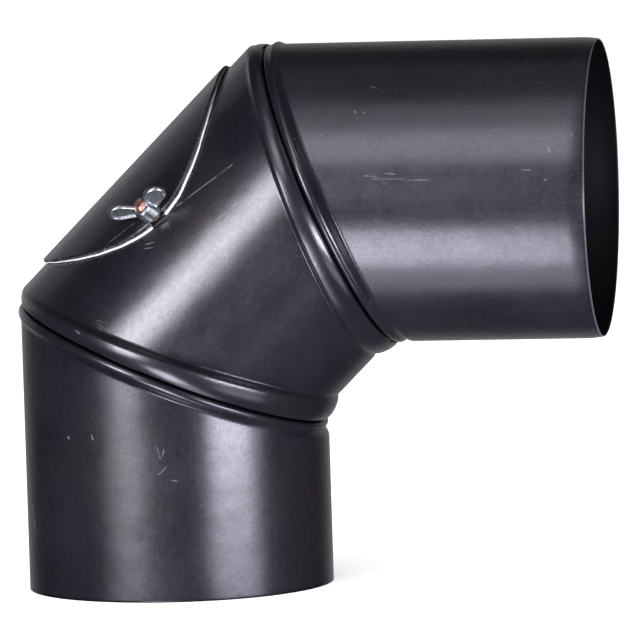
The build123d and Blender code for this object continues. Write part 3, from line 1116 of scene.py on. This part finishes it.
# Camera at the photograph's angle: a long lens from the front, a little to the right and above
YAW, PITCH, ROLL = radians(8.79), radians(5.2), radians(-1.76)
TARGET = np.array([73.48, 0.0, 130.5])
DISTANCE = 4000.0
SENSOR_WIDTH = 36.0
PICTURE_WIDTH = 640
PIXELS_PER_MM = 2.02
level = Matrix.Rotation(YAW, 3, "Z") @ Matrix.Rotation(-PITCH, 3, "X")
ahead = level @ Vector((0, 1, 0))
level_right = level @ Vector((1, 0, 0))
level_down = level @ Vector((0, 0, -1))
right = level_right * cos(ROLL) - level_down * sin(ROLL)
down = level_right * sin(ROLL) + level_down * cos(ROLL)
camera_data = bpy.data.cameras.new("photo_camera")
camera_data.sensor_width = SENSOR_WIDTH
camera_data.lens = SENSOR_WIDTH * PIXELS_PER_MM * DISTANCE / PICTURE_WIDTH
camera = bpy.data.objects.new("photo_camera", camera_data)
camera.matrix_world = Matrix((right, -down, -ahead)).transposed().to_4x4()
camera.location = (Vector(TARGET) - ahead * DISTANCE) * MM
bpy.context.scene.collection.objects.link(camera)
bpy.context.scene.camera = camera


# Studio: soft boxes placed by their angle from the camera's line, a pale floor and a white surround
COOL_WHITE = (0.98, 0.965, 1.09)
BLUE_WHITE = (0.97, 0.94, 1.15)


def soft_box(name, azimuth, elevation, width, height, brightness, colour, distance=2.2):
    """Area light aimed at the elbow: its place and its size are angles in degrees, seen from there."""
    azimuth, elevation = radians(azimuth), radians(elevation)
    toward = (
        right * sin(azimuth) * cos(elevation) - down * sin(elevation) - ahead * cos(azimuth) * cos(elevation)
    )
    light = bpy.data.lights.new(name, "AREA")
    light.shape = "RECTANGLE"
    light.size = 2 * distance * tan(radians(width) / 2)
    light.size_y = 2 * distance * tan(radians(height) / 2)
    light.energy = brightness * pi * light.size * light.size_y
    light.color = colour
    lamp = bpy.data.objects.new(name, light)
    lamp.rotation_mode = "QUATERNION"
    lamp.rotation_quaternion = toward.to_track_quat("Z", "Y")
    lamp.location = Vector(TARGET) * MM + toward * distance
    bpy.context.scene.collection.objects.link(lamp)


soft_box("left_box", -36.5, 2.5, 19, 21, 23.5, COOL_WHITE)
soft_box("left_low_box", -46, -10, 20, 6, 4.0, COOL_WHITE)
soft_box("right_box", 36.5, -6.5, 30, 13, 29.0, BLUE_WHITE, distance=0.9)
soft_box("right_edge_box", 57, -8, 14, 12, 5.0, BLUE_WHITE)
soft_box("low_box", -23, -43, 18, 29, 14.4, BLUE_WHITE)
soft_box("lower_box", -21, -70, 20, 22, 3.0, BLUE_WHITE)
soft_box("upper_box", -17, 33, 20, 24, 5.0, COOL_WHITE)
soft_box("top_box", -17, 56, 20, 22, 1.7, COOL_WHITE)
soft_box("upper_right_box", 54, 46, 16, 16, 4.0, COOL_WHITE)
soft_box("low_right_box", 45, -33, 34, 14, 3.0, BLUE_WHITE)
soft_box("ceiling_box", -17, 88, 30, 40, 0.18, COOL_WHITE)
soft_box("back_left_box", -140, 20, 40, 40, 0.3, COOL_WHITE)

floor_mesh = bpy.data.meshes.new("floor")
floor_mesh.from_pydata([(-30, -30, 0), (30, -30, 0), (30, 30, 0), (-30, 30, 0)], [], [(0, 1, 2, 3)])
floor = bpy.data.objects.new("floor", floor_mesh)
bpy.context.scene.collection.objects.link(floor)
paper, _, paper_surface = new_material("pale_floor")
for label, value in (
    ("Base Color", (0.9, 0.9, 0.9, 1)),
    ("Roughness", 0.95),
    ("Specular IOR Level", 0.0),
    ("Emission Color", (1, 1, 1, 1)),
    ("Emission Strength", 0.5),
):
    paper_surface.inputs[label].default_value = value
floor_mesh.materials.append(paper)
floor.visible_glossy = False
floor.visible_shadow = False

floor_only = bpy.data.collections.new("floor_only")
floor_only.objects.link(floor)
overhead_data = bpy.data.lights.new("overhead", "SUN")
overhead_data.angle = radians(110)
overhead_data.energy = 2.0
overhead = bpy.data.objects.new("overhead", overhead_data)
bpy.context.scene.collection.objects.link(overhead)
overhead.light_linking.receiver_collection = floor_only

world = bpy.data.worlds.new("white_surround")
bpy.context.scene.world = world
world.use_nodes = True
sky = world.node_tree
sky_surface = sky.nodes["Background"]
sky_way = add_node(sky, "ShaderNodeTexCoord").outputs["Generated"]
behind = vector_calc(sky, "DOT_PRODUCT", sky_way, tuple(ahead))["Value"]
surround = spread(sky, behind, 0.72, 0.97, 0.03, 0.4)
seen = add_node(sky, "ShaderNodeLightPath").outputs["Is Camera Ray"]
sky_strength = add_node(sky, "ShaderNodeMix", {0: seen, 2: surround, 3: 1.0}, data_type="FLOAT").outputs[0]
sky.links.new(sky_strength, sky_surface.inputs["Strength"])
sky_surface.inputs["Color"].default_value = (1, 1, 1, 1)

bpy.context.scene.view_settings.view_transform = "Standard"
